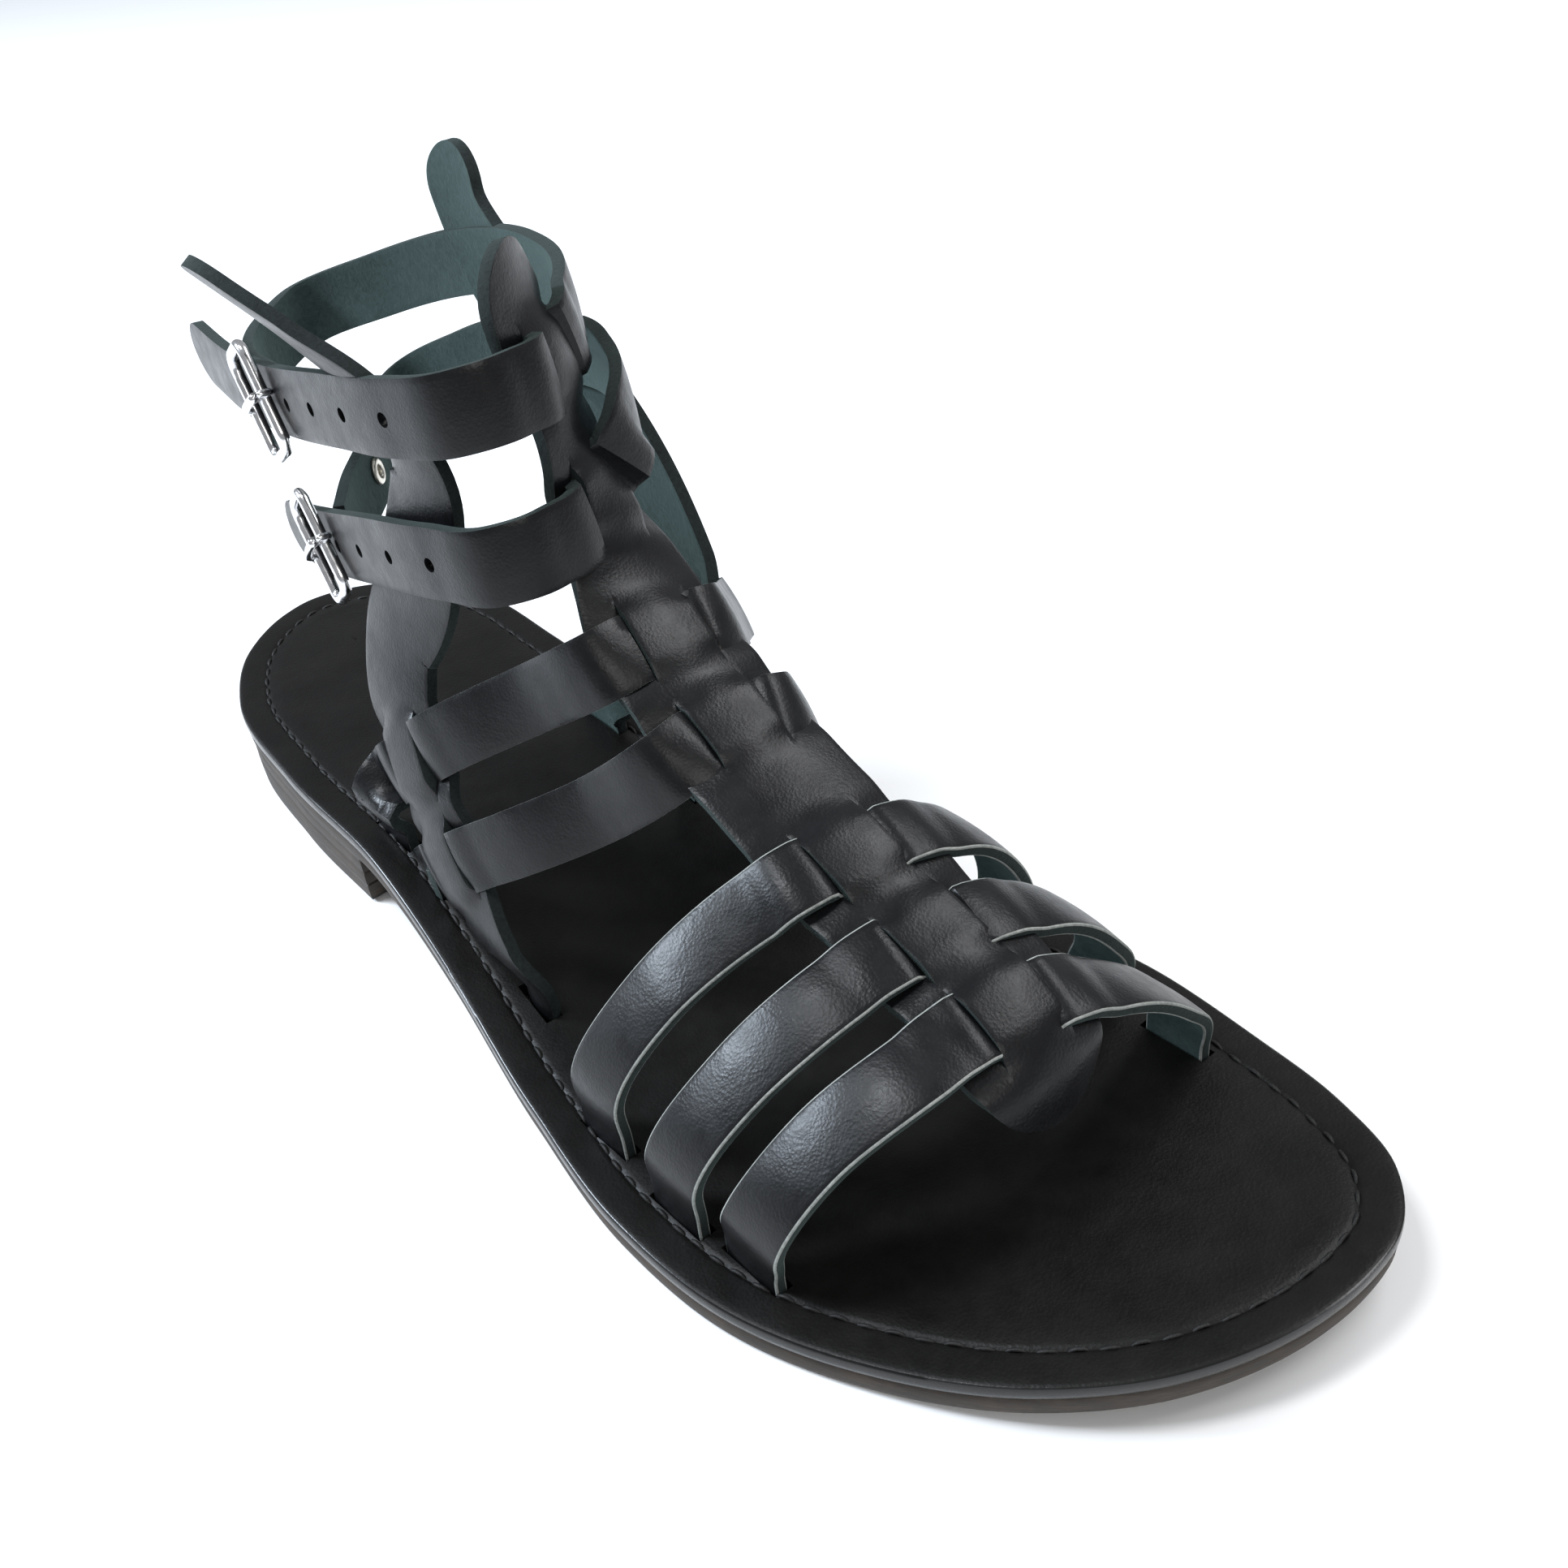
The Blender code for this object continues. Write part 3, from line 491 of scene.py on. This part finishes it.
def strap(name, path, columns, offset, slits=(), ends=(False, False), step=1.1, flip=False, thick=T, crown=0.25, mats=None, tip=None, shape=None, base_lift=0.0):
    """A sheet of leather along a path.
    columns: how many strips of mesh across; offset(t, s): how far the surface is lifted, in mm;
    slits: (t0, t1, s) cuts along the strap at s mm from its middle."""
    n = max(4, int(path.len / step))
    ts = [path.len * i / n for i in range(n + 1)]
    bm = bmesh.new()
    votes = []
    uv = bm.loops.layers.uv.new("UVMap")
    half = [path.at(t)[4] / 2 for t in ts]
    def width(t, w):
        r = w
        if ends[1] and t > path.len - r:
            return w * math.sqrt(max(0.0, 1 - ((t - path.len + r) / r) ** 2))
        if ends[0] and t < r:
            return w * math.sqrt(max(0.0, 1 - ((r - t) / r) ** 2))
        return w
    if ends[1]:
        w = half[-1]
        ts = [t for t in ts if t < path.len - w] + [path.len - w * (1 - math.sin(a * math.pi / 28)) for a in range(14)] + [path.len - 0.004]
    if ends[0]:
        w = half[0]
        ts = [0.004] + [w * (1 - math.sin(a * math.pi / 28)) for a in range(13, -1, -1)] + [t for t in ts if t > w + 0.4]
    cuts = sorted({abs(c[2]) for c in slits})
    # columns as a share of the half width, with the slits' columns held at their own place
    def share(h):
        if not cuts:
            return [-1 + 2 * i / columns for i in range(columns + 1)]
        c = cuts[0] / h
        inner = max(4, int(columns * c)) // 2 * 2
        outer = max(3, (columns - inner) // 2)
        return [-1 + (1 - c) * i / outer for i in range(outer)] + [-c + 2 * c * i / inner for i in range(inner)] + [c + (1 - c) * i / outer for i in range(outer + 1)]
    h_ref = sum(half) / len(half)
    ref = share(h_ref)
    grid, sv, outward = [], [], []
    for t in ts:
        c, d, u, nrm, w2 = path.at(t)
        if flip:
            nrm = -nrm
        outward.append(nrm)
        h = width(t, w2 / 2)
        if shape:
            h = shape(t, h)
        full = w2 / 2
        if cuts and h > cuts[0] * 1.3:
            c0 = cuts[0]
            sh = []
            cr = c0 / h_ref
            for f in ref:
                if abs(f) <= cr + 1e-6:
                    sh.append(f * h_ref)
                else:
                    g = (abs(f) - cr) / (1 - cr)
                    sh.append(math.copysign(c0 + (h - c0) * g, f))
        else:
            sh = [f * h for f in ref]
        a_row, b_row = [], []
        for f, s in zip(ref, sh):
            slit = next((q for q in slits if q[0] < t < q[1] and abs(s - q[2]) < 0.02), None)
            lift = base_lift - crown * (s / max(full, 1)) ** 2
            if slit:
                e = 1e-3 if slit[2] > 0 else -1e-3
                p_in = c + u * (s - e) + nrm * (offset(t, s - e * 60) + lift)
                p_out = c + u * (s + e) + nrm * (offset(t, s + e * 60) + lift)
                va, vb = bm.verts.new(P(p_in)), bm.verts.new(P(p_out))
                # a_row is used by the face on the -s side, b_row by the face on the +s side
                a_row.append(va if slit[2] > 0 else vb)
                b_row.append(vb if slit[2] > 0 else va)
            else:
                v = bm.verts.new(P(c + u * s + nrm * (offset(t, s) + lift)))
                a_row.append(v)
                b_row.append(v)
        grid.append((a_row, b_row))
        sv.append(sh)
    for i in range(len(ts) - 1):
        (a0, b0), (a1, b1) = grid[i], grid[i + 1]
        for j in range(len(ref) - 1):
            vs = (b0[j], a0[j + 1], a1[j + 1], b1[j])
            if flip:
                vs = vs[::-1]
            try:
                f = bm.faces.new(vs)
            except ValueError:
                continue
            votes.append((f, outward[i]))
            order = {0: (ts[i], sv[i][j]), 1: (ts[i], sv[i][j + 1]), 2: (ts[i + 1], sv[i + 1][j + 1]), 3: (ts[i + 1], sv[i + 1][j])}
            for q, l in enumerate(f.loops):
                k = 3 - q if flip else q
                l[uv].uv = (order[k][0] / 100, order[k][1] / 100)
    # the outer face has to look along the outward direction
    bm.normal_update()
    if sum(f.normal.dot(v) * f.calc_area() for f, v in votes) < 0:
        bmesh.ops.reverse_faces(bm, faces=bm.faces)
    bmesh.ops.remove_doubles(bm, verts=bm.verts, dist=0.0000004)
    bmesh.ops.dissolve_degenerate(bm, dist=0.0000004, edges=bm.edges)
    me = bpy.data.meshes.new(name)
    bm.to_mesh(me)
    bm.free()
    o = link(name, me, mats or (OUTER, FLESH, RIM, CUT_LINE_AND_EDGE_HIGHLIGHT))
    me.shade_smooth()
    m = o.modifiers.new("thick", "SOLIDIFY")
    m.thickness, m.offset, m.use_even_offset = thick * MM, 0.0, False
    m.material_offset, m.material_offset_rim = 1, 2
    b = o.modifiers.new("edge", "BEVEL")
    # the bevelled corners get material 3, the light cut-line colour, which also paints an edge highlight along them
    b.width, b.segments, b.limit_method, b.angle_limit, b.material = 0.00032, 2, "ANGLE", math.radians(50), 3
    b.use_clamp_overlap = True
    b.miter_outer = "MITER_ARC"
    return o

LEV = 1.15          # half of two leathers, the height the weave goes over and under
BAND = 5.6          # half width of the centre band
cen = Path(CENTRAL)
cross = {}          # crossings of the central strip: place along it, half width of the strap that crosses
paths = {}
for key, rows in list(FORE.items()) + list(INSTEP.items()):
    paths[key] = Path(rows)
    mid = {"a": (2.3, 182, 46.9), "b": (2, 197, 41), "c": (2.4, 211, 36.8), "1": (0.8, 143, 66.2), "2": (1.5, 157, 57.3)}[key]
    tc, _ = cen.nearest(mid)
    tk, _ = paths[key].nearest(mid)
    cross[key] = (tc, W5 / 2, tk)
for key, pts in ANKLE.items():
    paths[key] = Path([(*p, *UP, WA) for p in pts])
    mid = {"upper": (-2, 121, 102), "lower": (-2.4, 127, 82.6)}[key]
    tc, _ = cen.nearest(mid)
    tk, _ = paths[key].nearest(mid)
    cross[key] = (tc, WA / 2, tk)

CROWN = 1.5         # how far the strip's edges bend down over the foot
def cen_offset(t, s):
    """the centre band humps over each strap that crosses, the edge bands dip under it"""
    o = 0.0
    for tc, hw, _ in cross.values():
        dt = abs(t - tc)
        g = 1 - smooth(hw - 2.6, hw + 4.2, dt)
        k = smooth(hw - 2.0, hw + 1.5, dt)
        step = 1.0 if abs(s) < BAND else -1.0
        o += LEV * g * ((1 - k) * step + k * math.cos(math.pi * min(abs(s), 2 * BAND) / (2 * BAND)))
    return o
slits = []
for tc, hw, _ in cross.values():
    slits += [(tc - hw - 1.5, tc + hw + 1.5, BAND), (tc - hw - 1.5, tc + hw + 1.5, -BAND)]
central = strap("central_strip", cen, 28, cen_offset, slits, ends=(True, True), step=0.8, crown=CROWN)

EYE = Vector((116.744, 319.863, 193.421))
def on_strip(p, strip, crown, along_sight):
    """slides a point of a crossing strap until it lies on a strip's surface"""
    p = Vector(p)
    for _ in range(6):
        t, _d = strip.nearest(p)
        c, d, u, n, w = strip.at(t)
        s = (p - c).dot(u)
        h = (p - c).dot(n) + crown * (s / (w / 2)) ** 2
        ray = (p - EYE).normalized() if along_sight else n
        p = p - ray * (h / ray.dot(n))
    return p, d, u, n

def lay_on(path, tk, strip, crown, places, clear, along_sight=True, turn=0.55):
    """the strap's table again, with its rows near a crossing put on the strip's surface"""
    rows = [(k, tuple(r)) for k, r in zip(path.k, path.rows) if abs(k - tk) > clear]
    for f in places:
        c, d, u, n, w = path.at(tk + f)
        q, sd, su, sn = on_strip(c, strip, crown, along_sight)
        a = 1 - smooth(6, 14, abs(f))
        uu = u.lerp(sd if u.dot(sd) > 0 else -sd, turn * a).normalized()
        rows.append((tk + f, (q.x, q.y, q.z, uu.x, uu.y, uu.z, w)))
    rows.sort()
    return Path([r for _, r in rows])
for key in ("a", "b", "c", "1", "2"):
    tc, hw, tk = cross[key]
    paths[key] = lay_on(paths[key], tk, cen, CROWN, (-11.0, -5.6, 0.0, 5.6, 11.0), 14.5)
    cross[key] = (tc, hw, paths[key].nearest(cen.at(tc)[0])[0])

def weave(tk, half_strip, down=-LEV, up=LEV, beyond=0.35):
    """the height of a strap that goes under the centre band and over the edge bands"""
    def f(t, s):
        d = abs(t - tk)
        o = down + (up - down) * smooth(BAND - 1.0, BAND + 1.0, d)
        o = o + (beyond - up) * smooth(half_strip - 0.5, half_strip + 4.5, d)
        return o if d < half_strip + 4.5 else beyond
    return f
lat, med = Path(SIDE_LAT), Path(SIDE_MED)
SIDE_BAND = 5.0
side_cross = {"lat": [], "med": []}
strap_side = {"1": [], "2": []}
def closest(pa, pb, lo, hi):
    """where two straps cross: places along both"""
    best = (1e9, 0, 0)
    for i in range(121):
        ta = lo + (hi - lo) * i / 120
        tb, _ = pb.nearest(pa.at(ta)[0])
        dist = (pa.at(ta)[0] - pb.at(tb)[0]).length
        if dist < best[0]:
            best = (dist, ta, tb)
    return best[1], best[2]
for key in ("1", "2"):
    for side, strip in (("lat", lat), ("med", med)):
        p = paths[key]
        lo, hi = (4, cross[key][2] - 12) if side == "lat" else (cross[key][2] + 12, p.len - 4)
        tk, ts = closest(p, strip, lo, hi)
        paths[key] = lay_on(p, tk, strip, 0.8 if side == "lat" else -0.8, (-7.5, -4.0, 0.0, 4.0, 7.5), 9.5, side == "lat", 0.0)
    # places are measured again on the finished path
    cross[key] = (cross[key][0], cross[key][1], paths[key].nearest(cen.at(cross[key][0])[0])[0])
    for side, strip in (("lat", lat), ("med", med)):
        p = paths[key]
        lo, hi = (4, cross[key][2] - 12) if side == "lat" else (cross[key][2] + 12, p.len - 4)
        tk, ts = closest(p, strip, lo, hi)
        strap_side[key].append((tk, strip.at(ts)[4] / 2))
        side_cross[side].append((ts, W5 / 2 + 0.6))

def side_offset(side):
    sign = 1.0
    def f(t, s):
        o = 0.0
        for tc, hw in side_cross[side]:
            dt = abs(t - tc)
            g = 1 - smooth(hw - 2.0, hw + 4.0, dt)
            k = smooth(hw - 1.5, hw + 1.8, dt)
            step = 1.0 if abs(s) < SIDE_BAND else -1.0
            o += LEV * g * ((1 - k) * step + k * math.cos(math.pi * min(abs(s), 2 * SIDE_BAND) / (2 * SIDE_BAND)))
        return o
    return f
def side_slits(side):
    out = []
    for tc, hw in side_cross[side]:
        out += [(tc - hw - 1.8, tc + hw + 1.8, SIDE_BAND), (tc - hw - 1.8, tc + hw + 1.8, -SIDE_BAND)]
    return out

straps = []
for key in ("a", "b", "c", "1", "2"):
    main = weave(cross[key][2], 11.2)
    def height(t, s, main=main, sides=tuple(strap_side.get(key, ()))):
        o = main(t, s)
        for tk, half in sides:
            d = abs(t - tk)
            if d < half + 4.5:
                e = -LEV + 2 * LEV * smooth(SIDE_BAND - 1.0, SIDE_BAND + 1.0, d)
                e = e + (0.35 - LEV) * smooth(half - 0.5, half + 4.5, d)
                o = e if abs(t - cross[key][2]) > 15 else o
        return o
    straps.append(strap("cross_strap_" + key, paths[key], 10, height, step=1.0, crown=0.35))

# ---------------------------------------------------------------- side strips, with slits for the straps that cross them
side_lat = strap("side_strip_lateral", lat, 20, side_offset("lat"), side_slits("lat"), ends=(False, True), step=1.0, crown=0.8)
side_med = strap("side_strip_medial", med, 20, side_offset("med"), side_slits("med"), ends=(False, True), step=1.0, flip=True, crown=0.8)

# ---------------------------------------------------------------- ankle straps
ankle = {}
for key in ("upper", "lower"):
    ankle[key] = strap("ankle_strap_" + key, paths[key], 10, weave(cross[key][2], 9.6, -LEV, LEV, 0.0), ends=(False, True), step=1.2, crown=0.3)

def cyl(c, ax, r, h, n=20):
    bm = bmesh.new()
    bmesh.ops.create_cone(bm, cap_ends=True, segments=n, radius1=r * MM, radius2=r * MM, depth=h * MM)
    me = bpy.data.meshes.new("cut")
    bm.to_mesh(me)
    bm.free()
    o = bpy.data.objects.new("cut", me)
    bpy.context.scene.collection.objects.link(o)
    o.matrix_world = Matrix.Translation(P(c)) @ ax.to_track_quat("Z", "Y").to_matrix().to_4x4()
    o.hide_render, o.display_type = True, "WIRE"
    return o

EYELET = {"upper": paths["upper"].k[1] * 0.62, "lower": paths["lower"].k[2] - 0.05 * (paths["lower"].k[3] - paths["lower"].k[2])}
for key in ("upper", "lower"):
    p = paths[key]
    cutters = []
    for i in range(5):                   # prong holes in the free end
        t = p.nearest((20.5, 118, 101) if key == "upper" else (21.5, 121, 79.5), p.len * 0.6)[0] + {"upper": (4, 17, 30, 43, 56), "lower": (3, 16.5, 30, 43.5, 56)}[key][i]
        if t < p.len - 6:
            c, d, u, n, w = p.at(t)
            cutters.append(cyl(c, n, 1.15, 8))
    c, d, u, n, w = p.at(EYELET[key])
    cutters.append(cyl(c, n, 1.5, 8))
    cut(ankle[key], cutters)

# ---------------------------------------------------------------- slots through the insole
def slot_cut(row, w):
    x, y, z, ux, uy, uz, _ = row
    u = Vector((ux, uy, 0)).normalized()
    bm = bmesh.new()
    bmesh.ops.create_cube(bm, size=1.0)
    bmesh.ops.scale(bm, vec=((T + 0.9) * MM, (w + 1.2) * MM, 14 * MM), verts=bm.verts)
    me = bpy.data.meshes.new("cut")
    bm.to_mesh(me)
    bm.free()
    o = bpy.data.objects.new("cut", me)
    bpy.context.scene.collection.objects.link(o)
    o.matrix_world = Matrix.Translation(P((x, y, z + 3))) @ Matrix.Rotation(math.atan2(-u.x, u.y), 4, "Z")
    o.hide_render, o.display_type = True, "WIRE"
    return o
feet = [(r[0], r[0][6]) for r in list(FORE.values()) + list(INSTEP.values()) + [SIDE_LAT, SIDE_MED]]
feet += [(r[-1], r[-1][6]) for r in list(FORE.values()) + list(INSTEP.values())]
cut(insole, [slot_cut(r, w) for r, w in feet])

# ================================================================ buckles and rivets
def tube(name, pts, r, mat, closed=True, sides=12, flat=1.0):
    """a rod through points (mm) with a round section; the flat argument is not used"""
    bm = bmesh.new()
    n = len(pts)
    rings = []
    ref = None
    for i, p in enumerate(pts):
        a = pts[(i - 1) % n] if closed or i > 0 else p
        b = pts[(i + 1) % n] if closed or i < n - 1 else p
        d = (b - a).normalized()
        if ref is None:
            ref = d.orthogonal().normalized()
        ref = (ref - d * ref.dot(d)).normalized()
        e2 = d.cross(ref)
        rr = r(i / max(1, n - 1)) if callable(r) else r
        rings.append([bm.verts.new(P(p + (ref * math.cos(q) + e2 * math.sin(q)) * rr)) for q in [2 * math.pi * k / sides for k in range(sides)]])
    m = n if closed else n - 1
    for i in range(m):
        x, y = rings[i], rings[(i + 1) % n]
        for k in range(sides):
            j = (k + 1) % sides
            bm.faces.new((x[k], x[j], y[j], y[k]))
    if not closed:
        bm.faces.new(rings[0])
        bm.faces.new(rings[-1])
    bmesh.ops.recalc_face_normals(bm, faces=bm.faces)
    me = bpy.data.meshes.new(name)
    bm.to_mesh(me)
    bm.free()
    o = link(name, me, (mat,))
    me.shade_smooth()
    return o

metal_pieces = []
WIRE = 2.0
TURN = 0.35         # the loose buckles lean back at the top
for key in ("upper", "lower"):
    p = paths[key]
    t = p.k[len(p.rows) - 3] + {"upper": -0.05, "lower": 0.02}[key] * (p.k[-2] - p.k[-3])
    c, d, u, n, w = p.at(t)
    if n.x < 0:
        n = -n
    c = c + n * (2.2 / 2 + GAP + WIRE / 2)
    u, d = (u + d * TURN).normalized(), (d - u * TURN).normalized()
    loop = []
    A, B, R = 5.2, 9.0, 2.6
    for sx, sy, q0 in ((1, 1, 0), (-1, 1, 90), (-1, -1, 180), (1, -1, 270)):
        for k in range(7):
            q = math.radians(q0 + 15 * k)
            loop.append(c + d * (sx * (A - R) + R * math.cos(q)) + u * (sy * (B - R) + R * math.sin(q)))
    # straight runs get points of their own
    dense = []
    for a, b in zip(loop, loop[1:] + loop[:1]):
        m = max(1, int((b - a).length / 1.2))
        dense += [a + (b - a) * (k / m) for k in range(m)]
    fr = tube("buckle_frame_" + key, dense, 1.0, CHROME)
    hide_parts("buckle_" + key)
    pc = c + n * (WIRE / 2 + 0.5)
    rod = []
    for k in range(19):
        f = k / 18
        x = -6.0 + 12.6 * f
        lift = 0.25 + 0.35 * math.sin(math.pi * min(1, f * 1.15)) - (1.1 * smooth(0.84, 1.0, f))
        rod.append(pc + d * x + n * lift)
    pr = tube("buckle_prong_" + key, rod, lambda f: 0.85 - 0.28 * f, CHROME, closed=False)
    coil = [pc - d * 6.0 + (n * math.cos(q) + d * math.sin(q)) * 1.35 - n * 0.95 for q in [math.radians(20 + 15 * k) for k in range(20)]]
    ey = tube("buckle_prong_loop_" + key, coil, 0.6, CHROME, closed=False)
    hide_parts("prong_" + key)
    c2, d2, u2, n2, w2 = p.at(EYELET[key])
    # eyelet: a lathe of a rolled rim on both faces, hollow through the middle
    prof = [(1.15, -1.3), (1.25, -1.75), (1.75, -1.95), (2.35, -1.75), (2.6, -1.35), (2.5, -1.15), (1.45, -1.1), (1.45, 1.1), (2.5, 1.15), (2.6, 1.35),
            (2.35, 1.75), (1.75, 1.95), (1.25, 1.75), (1.15, 1.3)]
    bm = bmesh.new()
    e1, N = d2, 36
    e2 = n2.cross(e1)
    rr = [[bm.verts.new(P(c2 + (e1 * math.cos(2 * math.pi * i / N) + e2 * math.sin(2 * math.pi * i / N)) * r + n2 * h)) for r, h in prof] for i in range(N)]
    for i in range(N):
        for j in range(len(prof)):
            bm.faces.new((rr[i][j], rr[i][(j + 1) % len(prof)], rr[(i + 1) % N][(j + 1) % len(prof)], rr[(i + 1) % N][j]))
    bmesh.ops.recalc_face_normals(bm, faces=bm.faces)
    me = bpy.data.meshes.new("eyelet_" + key)
    bm.to_mesh(me)
    bm.free()
    rv = link("eyelet_" + key, me, (NICKEL,))
    me.shade_smooth()
    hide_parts("rivet_" + key)
    metal_pieces += [fr, pr, ey, rv]

# ================================================================ what rides and replaces
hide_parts("insole")
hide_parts("outsole")
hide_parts("heel")
uppers = [central, side_lat, side_med] + straps + list(ankle.values())
for o in uppers:
    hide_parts("upper")
for o in uppers:
    if o.modifiers:
        bake(o, 42)
for o in uppers + [insole, outsole, heel, stitch] + metal_pieces:
    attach(o, "root")

# ================================================================ floor, light, camera
bm = bmesh.new()
bmesh.ops.create_grid(bm, x_segments=8, y_segments=8, size=6.0)
me = bpy.data.meshes.new("floor")
bm.to_mesh(me)
bm.free()
m, nt, b = nodes_of("floor_plain_pale")
b.inputs["Base Color"].default_value = (0.86, 0.86, 0.86, 1)
b.inputs["Roughness"].default_value = 0.9
b.inputs["Specular IOR Level"].default_value = 0.1
floor = link("floor", me, (m,))
floor.location.z = -0.0002

world = bpy.data.worlds.new("world")
bpy.context.scene.world = world
world.use_nodes = True
world.node_tree.nodes["Background"].inputs["Color"].default_value = (0.95, 0.97, 1.0, 1)
world.node_tree.nodes["Background"].inputs["Strength"].default_value = 0.36

def area(name, loc, target, size, power, color):
    l = bpy.data.lights.new(name, "AREA")
    l.shape, l.size, l.size_y, l.energy, l.color = "RECTANGLE", size[0], size[1], power, color
    o = bpy.data.objects.new(name, l)
    bpy.context.scene.collection.objects.link(o)
    o.location = loc
    o.rotation_euler = (Vector(target) - Vector(loc)).to_track_quat("-Z", "Y").to_euler()
    return o
area("window_behind_right", (0.66, -0.80, 0.66), (0.01, 0.04, 0.03), (0.32, 0.26), 19, (0.78, 0.88, 1.0))
area("window_left", (-0.66, 0.24, 0.92), (0, 0.04, 0.04), (0.85, 0.30), 7.5, (0.97, 0.98, 1.0))
area("ceiling", (0.32, -0.22, 1.0), (0.02, 0.04, 0.03), (0.18, 0.30), 5.6, (0.92, 0.96, 1.0))
area("soft_front", (0.30, 1.05, 0.85), (0, 0.02, 0.03), (0.6, 0.4), 4.2, (1.0, 0.98, 0.95))

LENS = 38.5
cam_d = bpy.data.cameras.new("camera")
cam = bpy.data.objects.new("camera", cam_d)
bpy.context.scene.collection.objects.link(cam)
right = Vector((-0.68953, 0.72335, -0.03617))
up = Vector((-0.42607, -0.36475, 0.82790))
back = Vector((0.58567, 0.58627, 0.55971))
loc = P((116.744, 319.863, 193.421))
# turned to the shoe's middle, so that the one shoe fills the frame
back = (back * 1811.36 + right * 196 + up * 99).normalized()
right = (right - back * right.dot(back)).normalized()
up = back.cross(right)
M = Matrix((( right.x, up.x, back.x, loc.x), (right.y, up.y, back.y, loc.y), (right.z, up.z, back.z, loc.z), (0, 0, 0, 1)))
cam.matrix_world = M
cam_d.sensor_width, cam_d.lens = 36.0, LENS
cam_d.clip_start, cam_d.clip_end = 0.01, 50
bpy.context.scene.camera = cam
bpy.context.scene.view_settings.view_transform = "Standard"

bpy.context.view_layer.update()
